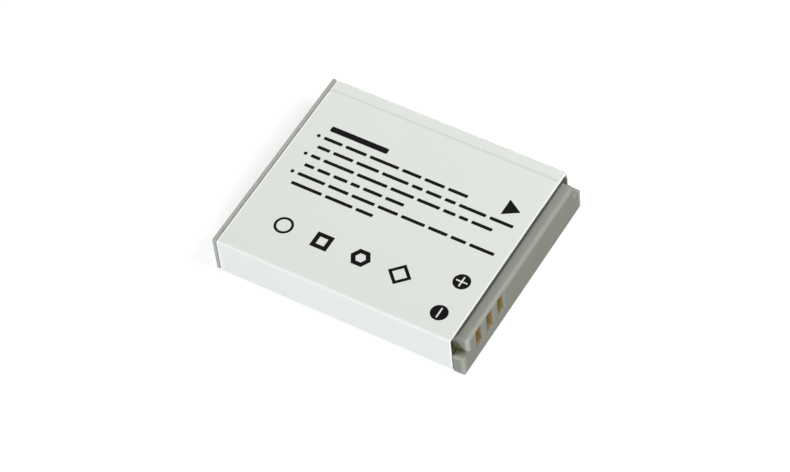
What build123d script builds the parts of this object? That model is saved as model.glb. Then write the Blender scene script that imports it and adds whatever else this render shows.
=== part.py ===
from build123d import *
import os

# Flat rechargeable camera battery: a sealed cell between two moulded caps, wrapped in a film label.
# Millimetres. The origin is the centre of the base, +X points to the contacts, +Z to the printed face,
# and -Y is the side that the contacts are nearer to.

# Overall size
body_length = 41.8
body_width = 34.4
body_height = 6.9

# Film label, one sheet wound once round the pack with its last edge lapped over the first
film_thickness = 0.12
fold_radius = 0.28
label_rear_margin = 0.8
seam_distance = 2.3
overlap_width = 5.0
flap_corner = 0.6
label_gap = 0.05

# End cap: a flange that shows, a shadow groove and a seat under the label
flange_thickness = 0.5
flange_inset = 0.03
flange_round = 0.1
groove_depth = 0.22
seat_thickness = 0.7

# Foam pad in a pocket of the end cap
pad_thickness = 0.35
pad_margin = 1.2
pad_gap = 0.1

# Terminal cap: a nose that shows, made of a wide foot and a narrower block, and a skirt under the label
nose_length = 2.0
nose_step = 0.58
nose_round = 0.58
foot_height = 3.73
foot_round = 0.12
foot_gap = 0.18
base_round = 0.1
corner_margin = 0.05
notch_width = 1.45
notch_depth = 0.7
front_wall = 0.8
nose_floor = 0.8
nose_roof = 0.4
pocket_wall = 0.6
skirt_wall = 0.7
cavity_round = 0.3
shoulder = 1.3

# Catches that hold the board in its pocket
catch_width = 2.4
catch_height = 0.25
catch_length = 0.5
catch_spacing = 18.0
catch_gap = 0.05

# Contact windows in the nose and the plates that stand in them
window_width = 1.9
window_height = 3.85
window_rim = 0.1
window_flare = 45
window_pitch = 3.1
window_drop = 0.5
window_offset = 4.67
contact_recess = 0.4
contact_gap = 0.06
contact_round = 0.08
contact_names = ("contact_negative", "contact_sense", "contact_positive")

# Protection board
board_thickness = 0.8
board_gap = 0.1
wiring_space = 3.9

# Sealed cell
can_corner = 0.6
can_base_round = 0.25
weld_inset = 0.45
weld_width = 0.2
weld_depth = 0.1
vent_length = 5.0
vent_width = 2.2
vent_groove = 0.25
vent_depth = 0.1
vent_offset = 7.0

# Insulated terminal of the cell
shank_diameter = 1.4
rivet_head_length = 4.4
rivet_head_width = 2.2
rivet_head_thickness = 0.3
rivet_head_round = 0.6
gasket_wall = 0.4
gasket_rim = 0.4
gasket_thickness = 0.3
gasket_depth = 0.8
shank_gap = 0.03

# Filling hole and its plug
plug_head = 1.6
plug_head_thickness = 0.2
plug_shank = 1.0
plug_depth = 0.6
plug_offset = 6.0

# Welded plate and folded strips
plate_length = 4.0
plate_width = 3.0
plate_thickness = 0.2
strip_thickness = 0.15
strip_width = 2.6
strip_bend = 0.5
strip_leg = 3.4
strip_margin = 0.4

# Insulating sheets
insulator_thickness = 0.15
insulator_gap = 0.3
tape_thickness = 0.1

# Thermal cutoff
cutoff_length = 5.0
cutoff_width = 3.2
cutoff_thickness = 1.0
cutoff_round = 0.15
cutoff_offset = 3.2
cutoff_lead_width = 2.2
cutoff_lead_thickness = 0.15
cutoff_lead_lap = 1.2

# Six-lead packages on the board
package_length = 2.9
package_width = 1.6
package_height = 1.0
package_standoff = 0.1
package_chamfer = 0.12
lead_pitch = 0.95
lead_width = 0.4
lead_thickness = 0.15
lead_reach = 0.25
lead_foot = 0.35
switch_offset = -2.2
chip_offset = 1.8

# Chip resistors, capacitors and thermistor
small_length = 1.6
small_width = 0.8
small_height = 0.5
small_end = 0.3
small_end_lip = 0.03
small_row_gap = 1.0
resistor_offset = 4.6
capacitor_offset = 6.0
thermistor_offset = 7.4

# Levels along X, from the end cap to the contact face
x_rear = -body_length / 2
x_flange = x_rear + flange_thickness
x_label_rear = x_rear + label_rear_margin
x_can_rear = x_label_rear + seat_thickness
x_front = body_length / 2
x_nose = x_front - nose_length
x_foot = x_nose + foot_gap
x_board_front = x_front - front_wall
x_board_rear = x_board_front - board_thickness
x_lid = x_board_rear - wiring_space
x_shoulder = x_nose - shoulder
x_terminal = x_lid + gasket_thickness + rivet_head_thickness
x_cutoff = x_lid + insulator_thickness

# Core: the space inside the label, filled by the cell and the two caps
side = body_width / 2
core_side = side - film_thickness - label_gap
core_base = film_thickness + label_gap
core_top = body_height - 2 * film_thickness - label_gap
core_radius = fold_radius - film_thickness - label_gap
core_middle = (core_base + core_top) / 2

# Nose and the board pocket inside it
nose_top = body_height - nose_step
block_side = side - notch_width
nose_corner = nose_round + corner_margin
foot_corner = foot_round + corner_margin
pocket_side = block_side - pocket_wall
pocket_base = core_base + nose_floor
pocket_top = nose_top - nose_roof
board_side = pocket_side - board_gap
board_base = pocket_base + board_gap
board_top = pocket_top - board_gap
board_middle = (board_base + board_top) / 2
window_top = nose_top - window_drop
window_middle = window_top - window_height / 2

# Places across the width
y_seam = side - seam_distance
y_under = y_seam - overlap_width
y_positive = -board_side + strip_margin
y_negative = board_side - strip_margin
window_places = [-side + window_offset + window_pitch * step for step in range(len(contact_names))]


def section(y_low, y_high, z_low, z_high, radius):
    """Rounded rectangle to stand in a plane across the length."""
    middle = Pos((y_low + y_high) / 2, (z_low + z_high) / 2)
    return middle * RectangleRounded(y_high - y_low, z_high - z_low, radius)


def core_section(inset, radius):
    """Outline of the core, brought in all round by an inset."""
    return section(-core_side + inset, core_side - inset, core_base + inset, core_top - inset, radius)


def half_plane(y_limit):
    """Part of the cross-section on the -Y side of a limit."""
    reach = y_limit + body_width
    return Pos(y_limit - reach / 2, body_height / 2) * Rectangle(reach, 2 * body_height)


def prism(sketch, x_low, x_high):
    """Cross-section drawn out along the length."""
    return extrude(Plane.YZ.offset(x_low) * sketch, amount=x_high - x_low)


def slab(x_low, x_high, y_low, y_high, z_low, z_high):
    """Plain block between two corners."""
    middle = Pos((x_low + x_high) / 2, (y_low + y_high) / 2, (z_low + z_high) / 2)
    return middle * Box(x_high - x_low, y_high - y_low, z_high - z_low)


def pin(x_low, x_high, y, z, diameter):
    """Round pin along the length."""
    return prism(Pos(y, z) * Circle(diameter / 2), x_low, x_high)


def bent_strip(route, thickness):
    """Flat profile of a strip that follows a bent route, its thickness to the left of it."""
    return make_face(offset(route, amount=thickness, side=Side.LEFT, kind=Kind.INTERSECTION).edges())


def label_wrap():
    """Film sleeve: single all round, double where the flap laps over the first edge."""
    low = body_height - film_thickness
    outside = section(-side, side, 0, low, fold_radius)
    outside += section(-side, side, 0, body_height, fold_radius) & half_plane(y_under)
    inner = fold_radius - film_thickness
    inner_side = side - film_thickness
    inside = section(-inner_side, inner_side, film_thickness, low - film_thickness, inner)
    inside += section(-inner_side, inner_side, film_thickness, low, inner) & half_plane(y_under)
    sleeve = prism(outside - inside, x_label_rear, x_nose)
    flap_middle = Pos((x_label_rear + x_nose) / 2, y_seam - overlap_width / 2)
    flap = flap_middle * Rectangle(x_nose - x_label_rear, overlap_width)
    flap = fillet(flap.vertices().sort_by(Axis.Y)[-2:], flap_corner)
    return sleeve + extrude(Plane.XY.offset(low) * flap, amount=film_thickness)


def end_cap():
    """Flange, shadow groove and seat in one moulding, with a pocket for the foam pad."""
    rim = side - flange_inset
    flange = prism(section(-rim, rim, flange_inset, body_height - flange_inset, fold_radius), x_rear, x_flange)
    flange_ends = flange.faces().sort_by(Axis.X)
    flange = fillet(flange_ends[0].edges() + flange_ends[-1].edges(), flange_round)
    neck_side = side - groove_depth
    neck = section(-neck_side, neck_side, groove_depth, body_height - groove_depth, core_radius)
    seat = prism(core_section(0, core_radius), x_label_rear, x_can_rear)
    pocket = prism(core_section(pad_margin, cavity_round), x_can_rear - pad_thickness, x_can_rear)
    return flange + prism(neck, x_flange, x_label_rear) + seat - pocket


def end_pad():
    """Foam pad that fills the end cap's pocket and bears on the cell's bottom."""
    return prism(core_section(pad_margin + pad_gap, cavity_round), x_can_rear - pad_thickness, x_can_rear)


def nose():
    """Front of the terminal cap: a foot as wide as the label, and a narrower block through it and above it."""
    foot = prism(section(-side, side, -foot_height, foot_height, foot_corner), x_foot, x_front)
    foot = fillet(foot.faces().sort_by(Axis.X)[-1].edges(), foot_round)
    foot &= slab(x_foot, x_front, -side, side, 0, foot_height)
    foot = fillet(foot.faces().sort_by(Axis.Z)[0].edges().sort_by(Axis.X)[1:], base_round)
    block = prism(section(-block_side, block_side, core_base, nose_top, nose_corner), x_nose, x_front)
    return foot + fillet(block.faces().sort_by(Axis.X)[-1].edges(), nose_round)


def board_catches():
    """Wedges on the pocket's floor and roof that snap behind the board."""
    x_stop = x_board_rear - catch_gap
    wedges = []
    for z_wall, z_tip in ((pocket_base, pocket_base + catch_height), (pocket_top, pocket_top - catch_height)):
        profile = make_face(Polyline((x_stop, z_wall), (x_stop, z_tip), (x_stop - catch_length, z_wall), close=True))
        for y_middle in (-catch_spacing / 2, catch_spacing / 2):
            place = Plane.XZ.offset(-y_middle - catch_width / 2)
            wedges.append(extrude(place * profile, amount=catch_width))
    return wedges


def terminal_cap():
    """Skirt and nose in one moulding, hollow behind the contact face."""
    cap = prism(core_section(0, core_radius), x_lid, x_nose) + nose()
    cap -= prism(core_section(skirt_wall, cavity_round), x_lid, x_shoulder)
    for y_low, y_high in ((-side, -block_side), (block_side, side)):
        cap -= slab(x_nose - notch_depth, x_nose, y_low, y_high, foot_height, body_height)
    cap -= slab(x_shoulder, x_board_front, -pocket_side, pocket_side, pocket_base, pocket_top)
    for y in window_places:
        window = Pos(y, window_middle) * Rectangle(window_width, window_height)
        cap -= prism(window, x_board_front, x_front)
        cap -= extrude(Plane.YZ.offset(x_front - window_rim) * window, amount=window_rim, taper=-window_flare)
    for wedge in board_catches():
        cap += wedge
    return cap


def contact(y):
    """Gold plated plate on the board, standing in its window behind the contact face."""
    width = window_width - 2 * contact_gap
    height = window_height - 2 * contact_gap
    plate = prism(Pos(y, window_middle) * Rectangle(width, height), x_board_front, x_front - contact_recess)
    return fillet(plate.faces().sort_by(Axis.X)[-1].edges(), contact_round)


def circuit_board():
    """Laminate board that stands in the pocket of the terminal cap."""
    return slab(x_board_rear, x_board_front, -board_side, board_side, board_base, board_top)


def cell_can():
    """Sealed can with its welded lid: weld seam, vent score, terminal seat and filling hole."""
    can = prism(core_section(0, can_corner), x_can_rear, x_lid)
    can = fillet(can.faces().sort_by(Axis.X)[0].edges(), min(can_base_round, can_corner / 2))
    seam = core_section(weld_inset, cavity_round) - core_section(weld_inset + weld_width, cavity_round)
    can -= prism(seam, x_lid - weld_depth, x_lid)
    vent = SlotOverall(vent_length, vent_width) - SlotOverall(vent_length - 2 * vent_groove, vent_width - 2 * vent_groove)
    can -= prism(Pos(vent_offset, core_middle) * vent, x_lid - vent_depth, x_lid)
    seat = shank_diameter + 2 * (gasket_wall + 2 * shank_gap)
    can -= pin(x_lid - gasket_depth, x_lid, 0, core_middle, seat)
    return can - pin(x_lid - plug_depth, x_lid, -plug_offset, core_middle, plug_shank + 2 * shank_gap)


def rivet_gasket():
    """Flanged sleeve between the cell's lid and its terminal."""
    rim = RectangleRounded(rivet_head_length + 2 * gasket_rim, rivet_head_width + 2 * gasket_rim, rivet_head_round)
    bore = shank_diameter + 2 * shank_gap
    body = prism(Pos(0, core_middle) * rim, x_lid, x_lid + gasket_thickness)
    body += pin(x_lid - gasket_depth, x_lid, 0, core_middle, bore + 2 * gasket_wall)
    return body - pin(x_lid - gasket_depth, x_lid + gasket_thickness, 0, core_middle, bore)


def cell_rivet():
    """Negative terminal: a flat head on the gasket and a shank through it."""
    head = Pos(0, core_middle) * RectangleRounded(rivet_head_length, rivet_head_width, rivet_head_round)
    rivet = prism(head, x_lid + gasket_thickness, x_terminal)
    return rivet + pin(x_lid - gasket_depth, x_lid + gasket_thickness, 0, core_middle, shank_diameter)


def plate_span():
    """Ends of the positive plate across the width, centred under the flat of its strip."""
    flat_middle = y_positive + (strip_bend + strip_leg) / 2
    return flat_middle - plate_length / 2, flat_middle + plate_length / 2


def positive_plate():
    """Plate welded on the lid, the cell's positive terminal."""
    y_low, y_high = plate_span()
    half = plate_width / 2
    return slab(x_lid, x_lid + plate_thickness, y_low, y_high, core_middle - half, core_middle + half)


def fill_plug():
    """Pin with a flat head that closes the filling hole."""
    plug = pin(x_lid, x_lid + plug_head_thickness, -plug_offset, core_middle, plug_head)
    return plug + pin(x_lid - plug_depth, x_lid, -plug_offset, core_middle, plug_shank)


def lid_insulator():
    """Sheet on the lid inside the skirt, cut out round the terminals and the plug."""
    sheet = core_section(skirt_wall + insulator_gap, cavity_round)
    spare = 2 * (gasket_rim + insulator_gap)
    sheet -= Pos(0, core_middle) * Rectangle(rivet_head_length + spare, rivet_head_width + spare)
    sheet -= Pos(-plug_offset, core_middle) * Circle(plug_head / 2 + insulator_gap)
    y_low, y_high = plate_span()
    cut_length = y_high - y_low + 2 * insulator_gap
    sheet -= Pos((y_low + y_high) / 2, core_middle) * Rectangle(cut_length, plate_width + 2 * insulator_gap)
    return prism(sheet, x_lid, x_lid + insulator_thickness)


def folded_strip(x_low, y_spine, inward):
    """Strip folded from a terminal up to the board, its legs turned inward from the spine."""
    y_leg = y_spine + inward * strip_leg
    corners = [(x_low, y_leg), (x_low, y_spine), (x_board_rear, y_spine), (x_board_rear, y_leg)]
    if inward < 0:
        corners.reverse()
    profile = bent_strip(FilletPolyline(*corners, radius=strip_bend), strip_thickness)
    return extrude(Plane.XY.offset(core_middle - strip_width / 2) * profile, amount=strip_width)


def positive_strip():
    """Folded strip from the positive plate to the board."""
    return folded_strip(x_lid + plate_thickness, y_positive, 1)


def negative_strip():
    """Folded strip from the thermal cutoff's outer lead to the board."""
    return folded_strip(x_terminal + cutoff_lead_thickness, y_negative, -1)


def thermal_cutoff():
    """Flat heat switch on the lid's insulator, one lead on the rivet and one under the negative strip."""
    half = cutoff_width / 2
    y_low, y_high = cutoff_offset, cutoff_offset + cutoff_length
    x_top = x_cutoff + cutoff_thickness
    body = slab(x_cutoff, x_top, y_low, y_high, core_middle - half, core_middle + half)
    body = fillet(body.edges().filter_by(Axis.X), cutoff_round)
    lead_half = cutoff_lead_width / 2
    x_lead = x_terminal + cutoff_lead_thickness
    y_first, y_last = -cutoff_lead_lap, y_negative - strip_bend
    return body + slab(x_terminal, x_lead, y_first, y_last, core_middle - lead_half, core_middle + lead_half)


def cutoff_tape():
    """Film patch on the thermal cutoff's upper face."""
    half = cutoff_width / 2
    x_tape = x_cutoff + cutoff_thickness
    y_low, y_high = cutoff_offset, cutoff_offset + cutoff_length
    return slab(x_tape, x_tape + tape_thickness, y_low, y_high, core_middle - half, core_middle + half)


def package(y_middle):
    """Six-lead package on the board's rear face, its leads towards the board's long edges."""
    x_low = x_board_rear - package_standoff - package_height
    x_high = x_board_rear - package_standoff
    half_length, half_width = package_length / 2, package_width / 2
    z_low, z_high = board_middle - half_width, board_middle + half_width
    body = slab(x_low, x_high, y_middle - half_length, y_middle + half_length, z_low, z_high)
    body = chamfer(body.faces().sort_by(Axis.X)[0].edges(), package_chamfer)
    x_lead = (x_low + x_high + lead_thickness) / 2
    for outward in (-1, 1):
        z_body = board_middle + outward * (half_width - lead_reach)
        z_knee = board_middle + outward * (half_width + lead_reach)
        z_toe = z_knee + outward * lead_foot
        corners = [(x_lead, z_body), (x_lead, z_knee), (x_board_rear, z_knee), (x_board_rear, z_toe)]
        if outward < 0:
            corners.reverse()
        profile = bent_strip(Polyline(*corners), lead_thickness)
        for step in (-1, 0, 1):
            y_lead = y_middle + step * lead_pitch
            body += extrude(Plane.XZ.offset(-y_lead - lead_width / 2) * profile, amount=lead_width)
    return body


def chip(y_middle, z_middle):
    """Small ceramic chip on the board's rear face, standing upright, with raised metal ends."""
    half_length, half_width = small_length / 2, small_width / 2
    x_low = x_board_rear - small_height
    lip = small_end_lip
    z_low, z_high = z_middle - half_length, z_middle + half_length
    body = slab(x_low, x_board_rear, y_middle - half_width, y_middle + half_width, z_low, z_high)
    for z_first, z_last in ((z_low, z_low + small_end), (z_high - small_end, z_high)):
        body += slab(x_low - lip, x_board_rear, y_middle - half_width - lip, y_middle + half_width + lip, z_first, z_last)
    return body


def chip_pair(y_middle):
    """Two like chips, one above the other on the board."""
    rise = (small_length + small_row_gap) / 2
    return Compound([chip(y_middle, board_middle - rise), chip(y_middle, board_middle + rise)])


parts = {
    "label_wrap": label_wrap(),
    "terminal_cap": terminal_cap(),
    "end_cap": end_cap(),
    "end_pad": end_pad(),
    "cell_can": cell_can(),
    "rivet_gasket": rivet_gasket(),
    "cell_rivet": cell_rivet(),
    "positive_plate": positive_plate(),
    "fill_plug": fill_plug(),
    "lid_insulator": lid_insulator(),
    "thermal_cutoff": thermal_cutoff(),
    "cutoff_tape": cutoff_tape(),
    "negative_strip": negative_strip(),
    "positive_strip": positive_strip(),
    "circuit_board": circuit_board(),
    "switch_transistor": package(switch_offset),
    "protection_chip": package(chip_offset),
    "chip_resistors": chip_pair(resistor_offset),
    "chip_capacitors": chip_pair(capacitor_offset),
    "thermistor": chip(thermistor_offset, board_middle),
}
for name, y in zip(contact_names, window_places):
    parts[name] = contact(y)

os.makedirs("parts", exist_ok=True)
for name, solid in parts.items():
    export_step(solid, f"parts/{name}.step")
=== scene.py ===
"""Camera battery: the finish of a flat rechargeable pack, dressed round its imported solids.

Sizes are given in millimetres and turned to metres where a mesh or a shader takes them. The frame is the
solids' own: the origin is the centre of the base, +X points to the contacts, +Z to the printed face, and
-Y is the side that the contacts are nearer to.
"""

import logging
import math
import random
from dataclasses import dataclass
from enum import Enum

import bmesh
import bpy
from mathutils import Matrix, Vector


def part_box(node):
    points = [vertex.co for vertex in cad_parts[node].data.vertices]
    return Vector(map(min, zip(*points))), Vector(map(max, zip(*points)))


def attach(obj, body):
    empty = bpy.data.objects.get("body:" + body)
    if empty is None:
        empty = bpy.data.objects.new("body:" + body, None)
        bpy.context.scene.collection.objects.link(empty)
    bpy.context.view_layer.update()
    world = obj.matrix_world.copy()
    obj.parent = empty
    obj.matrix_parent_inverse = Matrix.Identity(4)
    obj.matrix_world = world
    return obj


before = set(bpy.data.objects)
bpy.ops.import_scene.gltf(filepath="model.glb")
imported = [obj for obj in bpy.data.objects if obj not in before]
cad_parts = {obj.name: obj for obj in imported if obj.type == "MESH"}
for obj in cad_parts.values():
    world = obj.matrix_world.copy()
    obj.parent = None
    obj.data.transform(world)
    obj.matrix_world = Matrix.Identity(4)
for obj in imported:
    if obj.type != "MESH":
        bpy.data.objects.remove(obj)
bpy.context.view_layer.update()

MM = 0.001
BODY = "root"
LOG = logging.getLogger("camera_battery")

# Numbers of a colour mix's sockets, which share their names with the sockets for other kinds of value.
MIX_SHARE = 0
MIX_FIRST = 6
MIX_SECOND = 7
MIX_RESULT = 2

Point = tuple[float, float]
Loop = list[Point]
Colour = tuple[float, float, float, float]
Socket = bpy.types.NodeSocket
Settings = dict[str | int, object]
Links = dict[str | int, Socket]


class Axis(Enum):
    """Axes of the frame, by the name of the output that gives the place along them."""

    X = "X"
    Y = "Y"
    Z = "Z"


class Slot(Enum):
    """Material slots that new pieces take their finish from."""

    INK = "label_ink"


class Sign(Enum):
    """Signs of the two poles."""

    PLUS = "plus"
    MINUS = "minus"


def linear(colour: str) -> Colour:
    """Turns an sRGB hex colour to linear light.

    Args:
        colour: a hash sign and six hex digits.

    Returns:
        Red, green and blue in linear light, and full alpha.
    """
    shares = [int(colour[start:start + 2], 16) / 255 for start in (1, 3, 5)]
    red, green, blue = [s / 12.92 if s <= 0.04045 else ((s + 0.055) / 1.055) ** 2.4 for s in shares]
    return red, green, blue, 1.0


def add_node(tree: bpy.types.NodeTree, kind: str, settings: Settings | None = None,
             links: Links | None = None) -> bpy.types.Node:
    """Adds a shader node with its settings and links.

    Args:
        tree: the node tree that takes the node.
        kind: the node's type, without the words ShaderNode.
        settings: values by property name, or by the name or number of an input.
        links: output sockets by the name or number of the input that they feed.

    Returns:
        The new node.
    """
    node = tree.nodes.new("ShaderNode" + kind)
    for key, value in (settings or {}).items():
        if isinstance(key, str) and hasattr(node, key):
            setattr(node, key, value)
        else:
            node.inputs[key].default_value = value
    for key, output in (links or {}).items():
        tree.links.new(output, node.inputs[key])
    return node


@dataclass(frozen=True)
class Finish:
    """Surface of one real material: two close tones in soft clouds, a sheen and a fine relief.

    The lengths are real sizes in millimetres, unless a finish says that it is drawn coarser. A stretch
    above 1 draws the grain out along that axis.
    """

    name: str
    tone: str
    shade: str
    roughness: tuple[float, float]
    ior: float = 1.5
    metallic: float = 0.0
    cloud_mm: float = 5.0
    grain_mm: float = 0.15
    relief_mm: float = 0.003
    stretch: tuple[float, float, float] = (1.0, 1.0, 1.0)
    grain_detail: float = 3.0
    grain_roughness: float = 0.55
    cloud_detail: float = 2.0

    def place(self, tree: bpy.types.NodeTree) -> Socket:
        """Place on the surface in the frame, in metres."""
        return add_node(tree, "TexCoord").outputs["Object"]

    def grain(self, tree: bpy.types.NodeTree) -> Socket:
        """Adds the fine noise that the sheen and the relief follow.

        Args:
            tree: the material's node tree.

        Returns:
            Height of the grain from 0 to 1.
        """
        drawn = [1 / share for share in self.stretch]
        laid = add_node(tree, "Mapping", {"Scale": drawn}, {"Vector": self.place(tree)})
        settings = {"Scale": 1 / (self.grain_mm * MM), "Detail": self.grain_detail,
                    "Roughness": self.grain_roughness}
        return add_node(tree, "TexNoise", settings, {"Vector": laid.outputs["Vector"]}).outputs["Fac"]

    def colour(self, tree: bpy.types.NodeTree) -> Socket:
        """Adds the two tones in soft clouds.

        Args:
            tree: the material's node tree.

        Returns:
            Colour of the surface.
        """
        settings = {"Scale": 1 / (self.cloud_mm * MM), "Detail": self.cloud_detail}
        clouds = add_node(tree, "TexNoise", settings, {"Vector": self.place(tree)})
        tones = {"data_type": "RGBA", MIX_FIRST: linear(self.tone), MIX_SECOND: linear(self.shade)}
        return add_node(tree, "Mix", tones, {MIX_SHARE: clouds.outputs["Fac"]}).outputs[MIX_RESULT]

    def height(self, tree: bpy.types.NodeTree, grain: Socket) -> Socket:
        """Height of the relief in metres, from the grain alone."""
        depth = {"operation": "MULTIPLY", 1: self.relief_mm * MM}
        return add_node(tree, "Math", depth, {0: grain}).outputs[0]

    def finish_shader(self, tree: bpy.types.NodeTree, shader: bpy.types.Node) -> None:
        """Sets what a finish adds to the plain shader: nothing here."""

    def material(self) -> bpy.types.Material:
        """Makes the material, or finds it if it is made already.

        Returns:
            The material, named for the finish.
        """
        made = bpy.data.materials.get(self.name)
        if made is not None:
            return made
        made = bpy.data.materials.new(self.name)
        made.use_nodes = True
        tree = made.node_tree
        tree.nodes.clear()
        grain = self.grain(tree)
        low, high = self.roughness
        sheen = add_node(tree, "MapRange", {"To Min": low, "To Max": high}, {"Value": grain})
        bump = add_node(tree, "Bump", {"Distance": 1.0}, {"Height": self.height(tree, grain)})
        shader = add_node(tree, "BsdfPrincipled", {"Metallic": self.metallic, "IOR": self.ior}, {
            "Base Color": self.colour(tree),
            "Roughness": sheen.outputs["Result"],
            "Normal": bump.outputs["Normal"],
        })
        self.finish_shader(tree, shader)
        add_node(tree, "OutputMaterial", links={"Surface": shader.outputs["BSDF"]})
        return made


@dataclass(frozen=True)
class PaintedLight:
    """Tone painted along the edge, or round the corner, where faces meet: painted highlight on the outside,
    painted shade on the inside.

    Each face is given by an axis and its place along it, which counts on both sides of the middle or on
    one. The painted tone shows between a low and a high level above the base.
    """

    faces: tuple[tuple[Axis, float], ...]
    tone: str
    width_mm: float
    low_mm: float = 0.0
    high_mm: float = 10.0
    both_sides: bool = True


@dataclass(frozen=True)
class PaintedLightFinish(Finish):
    """Finish with painted highlights and painted shade along its edges."""

    painted_lights: tuple[PaintedLight, ...] = ()

    def away(self, tree: bpy.types.NodeTree, place: Socket, face_mm: float, both_sides: bool) -> Socket:
        """Adds the distance from a face.

        Args:
            tree: the material's node tree.
            place: place along the face's axis.
            face_mm: the face's own place on that axis.
            both_sides: whether there is a like face on the other side of the middle.

        Returns:
            Distance from the face, in metres.
        """
        if both_sides:
            place = add_node(tree, "Math", {"operation": "ABSOLUTE"}, {0: place}).outputs[0]
        beyond = add_node(tree, "Math", {"operation": "SUBTRACT", 1: face_mm * MM}, {0: place})
        return add_node(tree, "Math", {"operation": "ABSOLUTE"}, {0: beyond.outputs[0]}).outputs[0]

    def nearness(self, tree: bpy.types.NodeTree, painted_light: PaintedLight) -> Socket:
        """Adds how near a place is to a patch of painted highlight or shade.

        Args:
            tree: the material's node tree.
            painted_light: the painted highlight or shade.

        Returns:
            1 up to half the painted tone's width from where the faces meet, falling to 0 at its whole
            width.
        """
        places = add_node(tree, "SeparateXYZ", links={0: self.place(tree)}).outputs
        total, *others = [self.away(tree, places[axis.value], face_mm, painted_light.both_sides)
                          for axis, face_mm in painted_light.faces]
        for other in others:
            total = add_node(tree, "Math", {"operation": "ADD"}, {0: total, 1: other}).outputs[0]
        width = painted_light.width_mm * MM
        limits = {"interpolation_type": "SMOOTHSTEP", "From Min": width, "From Max": width / 2}
        share = add_node(tree, "MapRange", limits, {"Value": total})
        middle = (painted_light.low_mm + painted_light.high_mm) / 2 * MM
        half = (painted_light.high_mm - painted_light.low_mm) / 2 * MM
        band = {"operation": "COMPARE", 1: middle, 2: half}
        within = add_node(tree, "Math", band, {0: places[Axis.Z.value]})
        links = {0: share.outputs["Result"], 1: within.outputs[0]}
        return add_node(tree, "Math", {"operation": "MULTIPLY"}, links).outputs[0]

    def colour(self, tree: bpy.types.NodeTree) -> Socket:
        """Adds the painted highlights and shade to the clouds.

        Args:
            tree: the material's node tree.

        Returns:
            Colour of the surface.
        """
        tone = super().colour(tree)
        for painted_light in self.painted_lights:
            tones = {"data_type": "RGBA", MIX_SECOND: linear(painted_light.tone)}
            links = {MIX_SHARE: self.nearness(tree, painted_light), MIX_FIRST: tone}
            tone = add_node(tree, "Mix", tones, links).outputs[MIX_RESULT]
        return tone


@dataclass(frozen=True)
class LabelFilm(PaintedLightFinish):
    """White polyester film, calendered smooth and laid by hand, with cut ends that show its white core.

    It gives the eye a satin white that is even from a step away. Close by it has the soft peel of the
    adhesive under it, a faint blister and a lighter line along each cut end. Along its folds it carries a
    painted highlight.
    """

    cut_tone: str = "#F4F6F2"
    low_end_mm: float = 0.0
    high_end_mm: float = 0.0
    cut_width_mm: float = 0.3
    wave_mm: float = 9.0
    wave_height_mm: float = 0.004
    wave_detail: float = 1.0
    blister_mm: tuple[float, float, float] = (2.36, -6.42, 6.9)
    blister_width_mm: float = 0.5
    blister_height_mm: float = 0.02

    def colour(self, tree: bpy.types.NodeTree) -> Socket:
        """Adds the lighter cut ends to the clouds and the painted highlight on the folds.

        Args:
            tree: the material's node tree.

        Returns:
            Colour of the film.
        """
        along = add_node(tree, "SeparateXYZ", links={0: self.place(tree)}).outputs[Axis.X.value]
        middle = (self.low_end_mm + self.high_end_mm) / 2 * MM
        half = (self.high_end_mm - self.low_end_mm) / 2 * MM
        away = add_node(tree, "Math", {"operation": "SUBTRACT", 1: middle}, {0: along})
        away = add_node(tree, "Math", {"operation": "ABSOLUTE"}, {0: away.outputs[0]})
        limits = {"interpolation_type": "SMOOTHSTEP", "From Min": half - self.cut_width_mm * MM,
                  "From Max": half}
        cut = add_node(tree, "MapRange", limits, {"Value": away.outputs[0]})
        tones = {"data_type": "RGBA", MIX_SECOND: linear(self.cut_tone)}
        links = {MIX_SHARE: cut.outputs["Result"], MIX_FIRST: super().colour(tree)}
        return add_node(tree, "Mix", tones, links).outputs[MIX_RESULT]

    def height(self, tree: bpy.types.NodeTree, grain: Socket) -> Socket:
        """Adds the long waves of the adhesive and one faint blister to the grain.

        Args:
            tree: the material's node tree.
            grain: the fine noise.

        Returns:
            Height of the relief in metres.
        """
        place = self.place(tree)
        settings = {"Scale": 1 / (self.wave_mm * MM), "Detail": self.wave_detail}
        waves = add_node(tree, "TexNoise", settings, {"Vector": place})
        spot = [value * MM for value in self.blister_mm]
        away = add_node(tree, "VectorMath", {"operation": "DISTANCE", 1: spot}, {0: place})
        limits = {"interpolation_type": "SMOOTHSTEP", "From Min": self.blister_width_mm * MM,
                  "From Max": 0.0, "To Max": self.blister_height_mm * MM}
        blister = add_node(tree, "MapRange", limits, {"Value": away.outputs["Value"]})
        total = add_node(tree, "Math", {"operation": "MULTIPLY_ADD", 1: self.wave_height_mm * MM},
                         {0: waves.outputs["Fac"], 2: super().height(tree, grain)})
        return add_node(tree, "Math", {"operation": "ADD"},
                        {0: total.outputs[0], 1: blister.outputs["Result"]}).outputs[0]


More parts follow.
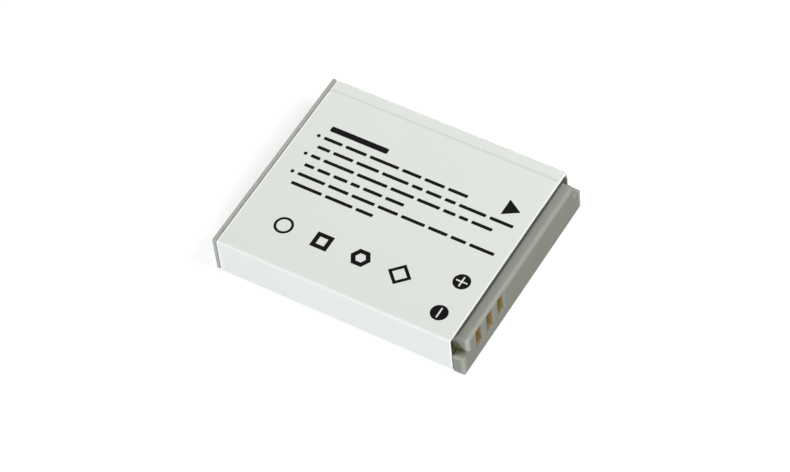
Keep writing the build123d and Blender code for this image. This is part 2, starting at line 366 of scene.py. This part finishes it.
@dataclass(frozen=True)
class MetalEnds(Finish):
    """Moulded or fired body with bare metal at its ends, told apart by the place along one axis.

    The bodies lie evenly on both sides of a centre, at a rise from it. What lies further from a body's
    own middle than its half is metal.
    """

    metal_tone: str = "#B9B4A8"
    axis: Axis = Axis.Z
    centre_mm: float = 0.0
    rise_mm: float = 0.0
    half_mm: float = 1.0

    def ends(self, tree: bpy.types.NodeTree) -> Socket:
        """Adds the test for the metal ends.

        Args:
            tree: the material's node tree.

        Returns:
            1 on the metal and 0 on the body.
        """
        place = add_node(tree, "SeparateXYZ", links={0: self.place(tree)}).outputs[self.axis.value]
        for step_mm in (self.centre_mm, self.rise_mm):
            away = add_node(tree, "Math", {"operation": "SUBTRACT", 1: step_mm * MM}, {0: place})
            place = add_node(tree, "Math", {"operation": "ABSOLUTE"}, {0: away.outputs[0]}).outputs[0]
        beyond = {"operation": "GREATER_THAN", 1: self.half_mm * MM}
        return add_node(tree, "Math", beyond, {0: place}).outputs[0]

    def colour(self, tree: bpy.types.NodeTree) -> Socket:
        """Adds the metal's tone at the ends to the clouds of the body.

        Args:
            tree: the material's node tree.

        Returns:
            Colour of the surface.
        """
        tones = {"data_type": "RGBA", MIX_SECOND: linear(self.metal_tone)}
        links = {MIX_SHARE: self.ends(tree), MIX_FIRST: super().colour(tree)}
        return add_node(tree, "Mix", tones, links).outputs[MIX_RESULT]

    def finish_shader(self, tree: bpy.types.NodeTree, shader: bpy.types.Node) -> None:
        """Makes the ends metal."""
        tree.links.new(self.ends(tree), shader.inputs["Metallic"])


@dataclass(frozen=True)
class LitAcrylic(Finish):
    """Opal acrylic sheet, lit from below: an even white glow that leaves only faint shadows."""

    glow: float = 0.7

    def finish_shader(self, tree: bpy.types.NodeTree, shader: bpy.types.Node) -> None:
        """Adds the light that comes through the sheet."""
        shader.inputs["Emission Color"].default_value = linear("#FFFFFF")
        shader.inputs["Emission Strength"].default_value = self.glow


@dataclass(frozen=True)
class FoamRubber(Finish):
    """Closed-cell foam, cut from sheet: dull, dark and pitted by opened cells."""

    def grain(self, tree: bpy.types.NodeTree) -> Socket:
        """Round cells in place of the noise."""
        settings = {"Scale": 1 / (self.grain_mm * MM)}
        return add_node(tree, "TexVoronoi", settings, {"Vector": self.place(tree)}).outputs["Distance"]


# Spark-eroded ABS, in a light batch: the tool's fine pits leave an even satin grey with no gloss spots. The
# real pits are about 0.03 mm, and are drawn coarser here so that they show.
LIGHT_ABS = Finish("abs_moulded_satin_light_grey", "#A4A69D", "#9C9E95", (0.42, 0.54), ior=1.54,
                   cloud_mm=7.0, grain_mm=0.11, relief_mm=0.0035)

# Flash gold over nickel on stamped plate: warm, with a soft mirror broken by fine rolling lines. The real
# lines are about 0.02 mm apart, and are drawn coarser here so that they show.
GOLD_PLATE = Finish("gold_flash_on_nickel", "#FFD67C", "#E8BC63", (0.34, 0.5), metallic=1.0, cloud_mm=1.2,
                    grain_mm=0.07, relief_mm=0.0012, stretch=(1.0, 1.0, 8.0))

# Screen ink: dense, a little duller than the film, and mottled by the mesh it was pressed through. Its
# index is set below the real 1.5, so that it mirrors less and the black stays deep.
SCREEN_INK = Finish("screen_ink_black", "#030403", "#070807", (0.5, 0.62), ior=1.18, cloud_mm=1.0,
                    grain_mm=0.12, relief_mm=0.0015)

# Deep-drawn aluminium: bright grey, with long draw lines from the bottom to the lid.
DRAWN_ALUMINIUM = Finish("aluminium_deep_drawn", "#D3D5D7", "#BEC1C4", (0.24, 0.42), metallic=1.0,
                         cloud_mm=4.0, grain_mm=0.09, relief_mm=0.002, stretch=(14.0, 1.0, 1.0))

# Rolled nickel strip: warm silver with fine lines along the strip. The real lines are about 0.02 mm apart,
# and are drawn coarser here so that they show.
ROLLED_NICKEL = Finish("nickel_rolled_strip", "#CBC5B8", "#B5AE9F", (0.2, 0.36), metallic=1.0, cloud_mm=2.0,
                       grain_mm=0.06, relief_mm=0.0012, stretch=(1.0, 10.0, 1.0))

# Moulded polypropylene: milky and waxy.
MOULDED_PP = Finish("polypropylene_moulded_natural", "#E4E4DE", "#D6D7CF", (0.34, 0.46), ior=1.49,
                    cloud_mm=1.5, grain_mm=0.1, relief_mm=0.002)

# Vulcanised fibre sheet: matte grey-green, with pressed fibres that show as short flecks. The real fibres
# are about 0.03 mm thick, and are drawn coarser here so that they show.
FIBRE_PAPER = Finish("vulcanised_fibre_sheet", "#9CAFA3", "#889C90", (0.7, 0.86), ior=1.5, cloud_mm=1.0,
                     grain_mm=0.08, relief_mm=0.006, stretch=(1.0, 4.0, 1.0))

# Polyimide film: deep amber and glossy.
POLYIMIDE_FILM = Finish("polyimide_film_amber", "#C98A2E", "#B97A22", (0.1, 0.2), ior=1.7, cloud_mm=2.0,
                        grain_mm=0.3, relief_mm=0.002)

# Solder mask on glass cloth laminate: dark green, with the cloth's threads just felt through it.
SOLDER_MASK = Finish("solder_mask_on_laminate", "#1F6B3C", "#195A32", (0.24, 0.36), ior=1.55, cloud_mm=2.5,
                     grain_mm=0.45, relief_mm=0.006)

# Foam pad: polyethylene foam with cells of about 0.25 mm.
FOAM = FoamRubber("polyethylene_foam_pad", "#3A3A3B", "#2E2E2F", (0.8, 0.95), ior=1.5, cloud_mm=2.0,
                  grain_mm=0.25, relief_mm=0.05)


def arc_corner(before: Point, corner: Point, after: Point, radius: float, steps: int = 6) -> Loop:
    """Rounds one corner of an outline.

    Args:
        before: the point before the corner.
        corner: the corner itself.
        after: the point after the corner.
        radius: radius of the round.
        steps: straight steps along the round.

    Returns:
        Points of the round.
    """
    tip = Vector(corner)
    back = (Vector(before) - tip).normalized()
    ahead = (Vector(after) - tip).normalized()
    half_angle = back.angle(ahead) / 2
    centre = tip + (back + ahead).normalized() * radius / math.sin(half_angle)
    start = tip + back * radius / math.tan(half_angle) - centre
    turn = start.angle_signed(tip + ahead * radius / math.tan(half_angle) - centre)
    spokes = [Matrix.Rotation(-turn * step / steps, 2) @ start for step in range(steps + 1)]
    return [tuple(centre + spoke) for spoke in spokes]


def rounded(corners: Loop, radius: float) -> Loop:
    """Rounds every corner of an outline.

    Args:
        corners: the corners in order.
        radius: radius of each round.

    Returns:
        Points of the rounded outline.
    """
    points: Loop = []
    for index, corner in enumerate(corners):
        after = corners[(index + 1) % len(corners)]
        points += arc_corner(corners[index - 1], corner, after, radius)
    return points


def regular(centre: Point, radius: float, count: int, turn_deg: float = 0.0) -> Loop:
    """Corners of a regular outline; many of them make a circle.

    Args:
        centre: middle of the outline.
        radius: distance of each corner from the middle.
        count: number of corners.
        turn_deg: angle of the first corner from +X.

    Returns:
        The corners in order.
    """
    x, y = centre
    angles = [math.radians(turn_deg + 360 * step / count) for step in range(count)]
    return [(x + radius * math.cos(angle), y + radius * math.sin(angle)) for angle in angles]


def bar(centre: Point, length: float, width: float) -> Loop:
    """Corners of a bar along X.

    Args:
        centre: middle of the bar.
        length: size along X.
        width: size along Y.

    Returns:
        The four corners in order.
    """
    x, y = centre
    return [(x + along * length / 2, y + across * width / 2)
            for along, across in ((-1, -1), (1, -1), (1, 1), (-1, 1))]


def flat_plate(name: str, shapes: list[list[Loop]], low_mm: float, high_mm: float) -> bpy.types.Object:
    """Makes flat closed plates of one thickness in one mesh.

    Args:
        name: name of the piece.
        shapes: for each plate, its outline and then its holes, in millimetres.
        low_mm: level of the underside.
        high_mm: level of the upper side.

    Returns:
        The new object, which rides on the pack.
    """
    shape_mesh = bmesh.new()
    for loops in shapes:
        rims: list[list[bmesh.types.BMEdge]] = []
        for level in (low_mm, high_mm):
            rim: list[bmesh.types.BMEdge] = []
            for loop in loops:
                ring = [shape_mesh.verts.new((x * MM, y * MM, level * MM)) for x, y in loop]
                rim += [shape_mesh.edges.new((ring[step - 1], ring[step])) for step in range(len(ring))]
            bmesh.ops.triangle_fill(shape_mesh, edges=rim, use_beauty=True)
            rims.append(rim)
        for under, over in zip(*rims):
            shape_mesh.faces.new((under.verts[0], under.verts[1], over.verts[1], over.verts[0]))
    bmesh.ops.recalc_face_normals(shape_mesh, faces=shape_mesh.faces)
    mesh = bpy.data.meshes.new(name)
    shape_mesh.to_mesh(mesh)
    shape_mesh.free()
    piece = bpy.data.objects.new(name, mesh)
    bpy.context.scene.collection.objects.link(piece)
    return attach(piece, BODY)


def dress_node(name: str, finish: Finish) -> None:
    """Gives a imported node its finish.

    Args:
        name: the node.
        finish: the finish of its surface.
    """
    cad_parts[name].material_slots[0].material = finish.material()
    LOG.info("%s: %s", name, finish.name)


@dataclass(frozen=True)
class PlainShape:
    """Regular outline drawn with an even line; many corners make it a ring."""

    corners: int
    turn_deg: float
    radius: float
    line: float


@dataclass
class PrintedLabel:
    """Film label and its print: a direction arrow, two pole signs, plain rules and plain shapes."""

    # Painted highlight along the film's top folds.
    fold_highlight_tone: str = "#DCDFD9"
    fold_highlight_mm: float = 0.45
    ink_mm: float = 0.012
    soak_mm: float = 0.004
    arrow_tip: Point = (16.58, 7.4)
    arrow_length: float = 2.48
    arrow_width: float = 3.0
    arrow_round: float = 0.06
    plus_centre: Point = (15.17, -7.28)
    minus_centre: Point = (15.03, -13.48)
    disc_radius: float = 1.35
    disc_corners: int = 72
    sign_length: float = 1.86
    sign_width: float = 0.25
    rules_left: float = -16.1
    rules_length: float = 33.0
    bold_place: float = 8.5
    bold_length: float = 9.8
    bold_width: float = 1.0
    row_place: float = 6.5
    row_pitch: float = 1.87
    row_shares: tuple[float, ...] = (0.74, 1.0, 0.96, 0.52, 1.0, 0.42)
    rule_width: float = 0.56
    round_share: float = 0.25
    rule_shortest: float = 1.4
    rule_longest: float = 5.2
    rule_gap: float = 0.62
    rule_seed: int = 11
    dot_radius: float = 0.3
    dot_corners: int = 20
    dotted_rows: tuple[int, ...] = (0, 2, 4)
    dot_distance: float = 0.95
    shape_place: float = -10.2
    shape_first: float = -12.9
    shape_pitch: float = 6.5
    plain_shapes: tuple[PlainShape, ...] = (
        PlainShape(72, 0.0, 1.5, 0.4),
        PlainShape(4, 45.0, 1.95, 0.7),
        PlainShape(6, 0.0, 1.65, 0.7),
        PlainShape(4, 0.0, 1.95, 0.5),
    )

    def levels(self) -> tuple[float, float]:
        """Levels of the ink's underside and upper side on the film, in millimetres."""
        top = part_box("label_wrap")[1].z / MM
        return top - self.soak_mm, top + self.ink_mm

    def print_piece(self, name: str, shapes: list[list[Loop]]) -> None:
        """Prints one group of shapes on the film.

        Args:
            name: name of the piece.
            shapes: outlines with their holes.
        """
        piece = flat_plate(name, shapes, *self.levels())
        piece.data.materials.append(SCREEN_INK.material())
        LOG.info("%s: %d shapes in ink", name, len(shapes))

    def arrow(self) -> list[list[Loop]]:
        """Solid arrow head that points to the contacts.

        Returns:
            One plate with no hole.
        """
        tip_x, tip_y = self.arrow_tip
        back = tip_x - self.arrow_length
        half = self.arrow_width / 2
        corners = [(tip_x, tip_y), (back, tip_y + half), (back, tip_y - half)]
        return [[rounded(corners, self.arrow_round)]]

    def pole(self, centre: Point, sign: Sign) -> list[list[Loop]]:
        """Disc with a pole's sign left open in it.

        Args:
            centre: middle of the disc.
            sign: which pole.

        Returns:
            One plate: the disc and its hole.
        """
        x, y = centre
        long = self.sign_length / 2
        short = self.sign_width / 2
        arm = [(short, short), (short, long), (-short, long)]
        cross: Loop = []
        for _quarter in range(4):
            cross += arm
            arm = [(-across, along) for along, across in arm]
        stroke = [(short, long), (-short, long), (-short, -long), (short, -long)]
        hole = cross if sign is Sign.PLUS else stroke
        disc = regular(centre, self.disc_radius, self.disc_corners)
        return [[disc, [(x + along, y + across) for along, across in hole]]]

    def rules(self) -> list[list[Loop]]:
        """Plain rules in rows: a bold one, then rows of short and long ones, some with a dot before them.

        Returns:
            One plate for each rule and dot.
        """
        middle = (self.rules_left + self.bold_length / 2, self.bold_place)
        bold = bar(middle, self.bold_length, self.bold_width)
        shapes = [[rounded(bold, self.bold_width * self.round_share)]]
        lengths = random.Random(self.rule_seed)
        for row, share in enumerate(self.row_shares):
            y = self.row_place - row * self.row_pitch
            x = self.rules_left
            end = x + share * self.rules_length
            if row in self.dotted_rows:
                shapes.append([regular((x - self.dot_distance, y), self.dot_radius, self.dot_corners)])
            while end - x > self.rule_shortest:
                length = min(lengths.uniform(self.rule_shortest, self.rule_longest), end - x)
                rule = bar((x + length / 2, y), length, self.rule_width)
                shapes.append([rounded(rule, self.rule_width * self.round_share)])
                x += length + self.rule_gap
        return shapes

    def shapes(self) -> list[list[Loop]]:
        """Row of plain outlines: a ring, a square, a hexagon and a diamond.

        Returns:
            One plate with a hole for each outline.
        """
        found = []
        for step, shape in enumerate(self.plain_shapes):
            centre = (self.shape_first + step * self.shape_pitch, self.shape_place)
            inner = shape.radius - shape.line / math.cos(math.pi / shape.corners)
            found.append([regular(centre, radius, shape.corners, shape.turn_deg)
                          for radius in (shape.radius, inner)])
        return found

    def build(self) -> None:
        """Prints the arrow, the pole signs, the rules and the shapes."""
        self.print_piece("print_arrow", self.arrow())
        self.print_piece("print_plus", self.pole(self.plus_centre, Sign.PLUS))
        self.print_piece("print_minus", self.pole(self.minus_centre, Sign.MINUS))
        self.print_piece("print_rules", self.rules())
        self.print_piece("print_shapes", self.shapes())

    def dress(self) -> None:
        """Gives the label its finish."""
        low, high = (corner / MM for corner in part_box("label_wrap"))
        # The lighter band along the top folds is a painted highlight.
        fold = PaintedLight(((Axis.Y, high.y), (Axis.Z, high.z)), self.fold_highlight_tone, self.fold_highlight_mm)
        film = LabelFilm("polyester_film_satin_white", "#D8DBD5", "#D3D6CF", (0.34, 0.44), ior=1.57,
                         cloud_mm=14.0, grain_mm=0.45, relief_mm=0.0006, painted_lights=(fold,),
                         low_end_mm=low.x, high_end_mm=high.x)
        dress_node("label_wrap", film)


@dataclass
class Caps:
    """The two moulded caps, with the foam pad and the three contact plates that they hold."""

    plated: tuple[str, ...] = ("contact_negative", "contact_sense", "contact_positive")
    padded: str = "end_pad"
    nose_top_mm: float = 6.32
    foot_top_mm: float = 3.73
    block_side_mm: float = 15.75
    # Painted highlights on the ridge and rims; painted shade in the near notch and along the label's end.
    ridge_highlight_tone: str = "#909288"
    rim_highlight_tone: str = "#95978C"
    rim_highlight_mm: float = 0.76
    notch_shade_tone: str = "#57553F"
    notch_shade_mm: float = 2.2
    seam_shadow_tone: str = "#4F5047"
    seam_shadow_mm: float = 0.26
    strip_shade_tone: str = "#797B70"
    strip_shade_mm: float = 1.3

    def terminal_finish(self) -> PaintedLightFinish:
        """Spark-eroded ABS in a darker batch: an even satin grey, with painted highlights on its rims.

        Painted shade lies in the near notch and along the label's end. The real pits are about 0.03 mm,
        and are drawn coarser here so that they show.

        Returns:
            The finish, with its painted highlights and shade at the terminal cap's edges and corners.
        """
        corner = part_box("terminal_cap")[1] / MM
        seam = (Axis.X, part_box("label_wrap")[1].x / MM)
        front = (Axis.X, corner.x)
        top = (Axis.Z, self.nose_top_mm)
        side = (Axis.Y, self.block_side_mm)
        near_side = (Axis.Y, -self.block_side_mm)
        foot = (Axis.Z, self.foot_top_mm)
        foot_side = (Axis.Y, corner.y)
        # Painted highlights on the ridge, the rims and the foot's edge.
        painted_lights = (PaintedLight((front, top), self.ridge_highlight_tone, self.rim_highlight_mm),
                  PaintedLight((front, side), self.rim_highlight_tone, self.rim_highlight_mm, self.foot_top_mm, self.nose_top_mm),
                  PaintedLight((front, foot_side), self.rim_highlight_tone, self.rim_highlight_mm, 0.0, self.foot_top_mm),
                  PaintedLight((foot, foot_side), self.rim_highlight_tone, self.rim_highlight_mm),
                  # Painted shade in a soft band along the label's end, and a painted shadow line at the end
                  # itself.
                  PaintedLight((seam, top), self.strip_shade_tone, self.strip_shade_mm),
                  PaintedLight((seam, top), self.seam_shadow_tone, self.seam_shadow_mm),
                  # Painted shade in the near notch's inner corner.
                  PaintedLight((seam, near_side, foot), self.notch_shade_tone, self.notch_shade_mm, both_sides=False))
        return PaintedLightFinish("abs_moulded_satin_grey", "#84867C", "#7D7F75", (0.42, 0.54), ior=1.54,
                            cloud_mm=7.0, grain_mm=0.11, relief_mm=0.0035, painted_lights=painted_lights)

    def dress(self) -> None:
        """Gives the caps, the plates and the pad their finishes."""
        dress_node("terminal_cap", self.terminal_finish())
        dress_node("end_cap", LIGHT_ABS)
        for name in self.plated:
            dress_node(name, GOLD_PLATE)
        dress_node(self.padded, FOAM)


@dataclass
class Cell:
    """The sealed cell and what is fixed to its lid."""

    drawn: tuple[str, ...] = ("cell_can", "fill_plug")
    rolled: tuple[str, ...] = ("cell_rivet", "positive_plate")

    def dress(self) -> None:
        """Gives the cell's pieces their finishes."""
        for name in self.drawn:
            dress_node(name, DRAWN_ALUMINIUM)
        for name in self.rolled:
            dress_node(name, ROLLED_NICKEL)
        dress_node("rivet_gasket", MOULDED_PP)
        dress_node("lid_insulator", FIBRE_PAPER)


@dataclass
class ProtectionBoard:
    """The protection board, its chips, and the strips and heat switch that join it to the cell."""

    strips: tuple[str, ...] = ("positive_strip", "negative_strip")
    packages: tuple[str, ...] = ("switch_transistor", "protection_chip")
    package_body_mm: float = 1.6
    chip_length_mm: float = 1.6
    chip_end_mm: float = 0.3
    cutoff_body_mm: float = 5.0

    def chip_finish(self, name: str, tone: str, shade: str) -> MetalEnds:
        """Fired ceramic chip with tinned ends: dull body, bright ends.

        The real grain is about 0.01 mm, and is drawn coarser here so that it shows.

        Args:
            name: the node, one chip or two in a column.
            tone: main colour of the ceramic.
            shade: second colour of the ceramic.

        Returns:
            The finish, with its ends where the node has them.
        """
        low, high = (corner.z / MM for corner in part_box(name))
        rise = (high - low - self.chip_length_mm) / 2
        half = self.chip_length_mm / 2 - self.chip_end_mm
        return MetalEnds(f"ceramic_fired_{name}", tone, shade, (0.35, 0.5), ior=1.6, cloud_mm=0.6,
                         grain_mm=0.05, relief_mm=0.002, centre_mm=(low + high) / 2, rise_mm=rise,
                         half_mm=half)

    def package_finish(self, name: str) -> MetalEnds:
        """Moulded epoxy package with tinned leads: dull black, with bright feet.

        The real pits are about 0.03 mm, and are drawn coarser here so that they show.

        Args:
            name: the node.

        Returns:
            The finish, with its leads where the node has them.
        """
        low, high = (corner.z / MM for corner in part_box(name))
        return MetalEnds(f"epoxy_moulded_{name}", "#26272A", "#1E1F21", (0.5, 0.66), ior=1.55, cloud_mm=0.8,
                         grain_mm=0.06, relief_mm=0.003, centre_mm=(low + high) / 2,
                         half_mm=self.package_body_mm / 2)

    def cutoff_finish(self) -> MetalEnds:
        """Heat switch in a moulded case with nickel leads: dull black case, warm silver leads.

        The real pits are about 0.03 mm, and are drawn coarser here so that they show.

        Returns:
            The finish, with its case under the tape's middle.
        """
        tape_low, tape_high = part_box("cutoff_tape")
        return MetalEnds("epoxy_moulded_thermal_cutoff", "#2A2B2E", "#222326", (0.45, 0.6), ior=1.55,
                         cloud_mm=1.0, grain_mm=0.07, relief_mm=0.003, axis=Axis.Y,
                         half_mm=self.cutoff_body_mm / 2, centre_mm=(tape_low.y + tape_high.y) / 2 / MM)

    def dress(self) -> None:
        """Gives the board's pieces their finishes."""
        dress_node("circuit_board", SOLDER_MASK)
        for name in self.strips:
            dress_node(name, ROLLED_NICKEL)
        for name in self.packages:
            dress_node(name, self.package_finish(name))
        dress_node("thermal_cutoff", self.cutoff_finish())
        dress_node("cutoff_tape", POLYIMIDE_FILM)
        dress_node("chip_resistors", self.chip_finish("chip_resistors", "#2B2C30", "#232428"))
        dress_node("chip_capacitors", self.chip_finish("chip_capacitors", "#A08A6C", "#93795A"))
        dress_node("thermistor", self.chip_finish("thermistor", "#5E6A62", "#525E56"))


def direction(azimuth_deg: float, elevation_deg: float) -> Vector:
    """Direction from the pack to a place round it.

    Args:
        azimuth_deg: 0 is on the -Y side and 90 on the +X side.
        elevation_deg: angle above the floor.

    Returns:
        Unit vector away from the pack.
    """
    around, above = math.radians(azimuth_deg), math.radians(elevation_deg)
    flat = math.cos(above)
    return Vector((math.sin(around) * flat, -math.cos(around) * flat, math.sin(above)))


@dataclass(frozen=True)
class SoftBox:
    """Square area light that faces the pack, placed by angles as seen from the pack."""

    name: str
    azimuth_deg: float
    elevation_deg: float
    power: float
    tint: str = "#FFFFFF"
    distance_mm: float = 900.0
    size_mm: float = 300.0

    def build(self) -> None:
        """Makes the light."""
        lamp = bpy.data.lights.new(self.name, "AREA")
        lamp.size = self.size_mm * MM
        lamp.energy = self.power
        lamp.color = linear(self.tint)[:3]
        light = bpy.data.objects.new(self.name, lamp)
        light.visible_camera = False
        back = direction(self.azimuth_deg, self.elevation_deg)
        light.location = back * (self.distance_mm * MM)
        light.rotation_euler = back.to_track_quat("Z", "Y").to_euler()
        bpy.context.scene.collection.objects.link(light)


@dataclass
class Studio:
    """Lit table, pale surroundings and soft boxes."""

    floor_mm: float = 4000.0
    surround: str = "#FFFFFF"
    surround_strength: float = 0.12
    boxes: tuple[SoftBox, ...] = (
        SoftBox("left_box", -75.0, 60.0, 1.15),
        SoftBox("near_box", 24.0, 18.0, 6.8, "#F4F7FF"),
        SoftBox("ridge_box", 101.0, 49.0, 4.6),
        SoftBox("back_box", 205.0, 34.0, 2.8),
    )
    sheet: Finish = LitAcrylic("acrylic_sheet_opal", "#A0A0A0", "#9D9D9D", (0.7, 0.8), cloud_mm=90.0,
                               grain_mm=2.0, relief_mm=0.0)

    def build(self) -> None:
        """Makes the floor, the surroundings and the lights."""
        mesh = bpy.data.meshes.new("floor")
        outline = bar((0.0, 0.0), self.floor_mm, self.floor_mm)
        mesh.from_pydata([(x * MM, y * MM, 0.0) for x, y in outline], [], [range(len(outline))])
        floor = bpy.data.objects.new("floor", mesh)
        mesh.materials.append(self.sheet.material())
        bpy.context.scene.collection.objects.link(floor)
        # The sheet lights the pack but isn't mirrored in it, or its glow would wash out gold and satin.
        floor.visible_glossy = False
        world = bpy.data.worlds.new("studio")
        world.use_nodes = True
        world.node_tree.nodes.clear()
        light = {"Color": linear(self.surround), "Strength": self.surround_strength}
        glow = add_node(world.node_tree, "Background", light)
        add_node(world.node_tree, "OutputWorld", links={"Surface": glow.outputs["Background"]})
        bpy.context.scene.world = world
        bpy.context.scene.view_settings.view_transform = "Standard"
        for box in self.boxes:
            box.build()


@dataclass
class PhotoCamera:
    """Camera at the photograph's viewing angle."""

    azimuth_deg: float = 35.82
    elevation_deg: float = 52.09
    roll_deg: float = -6.90
    distance_mm: float = 490.2
    aim_mm: tuple[float, float, float] = (0.93, -2.34, 3.45)
    focal_px: float = 3371.1
    image_width_px: float = 790.0
    sensor_mm: float = 36.0

    def build(self) -> None:
        """Makes the camera and hands it to the scene."""
        lens = bpy.data.cameras.new("photo_camera")
        lens.sensor_width = self.sensor_mm
        lens.lens = self.focal_px / self.image_width_px * self.sensor_mm
        camera = bpy.data.objects.new("photo_camera", lens)
        back = direction(self.azimuth_deg, self.elevation_deg)
        upright = back.to_track_quat("Z", "Y").to_matrix()
        turned = (upright @ Matrix.Rotation(math.radians(self.roll_deg), 3, "Z")).to_4x4()
        turned.translation = (Vector(self.aim_mm) + back * self.distance_mm) * MM
        camera.matrix_world = turned
        bpy.context.scene.collection.objects.link(camera)
        bpy.context.scene.camera = camera


def main() -> None:
    """Builds and dresses the pack, then sets the studio and the camera."""
    logging.basicConfig(level=logging.INFO)
    label = PrintedLabel()
    label.build()
    for assembly in (label, Caps(), Cell(), ProtectionBoard()):
        assembly.dress()
    Studio().build()
    PhotoCamera().build()


if __name__ == "__main__":
    main()
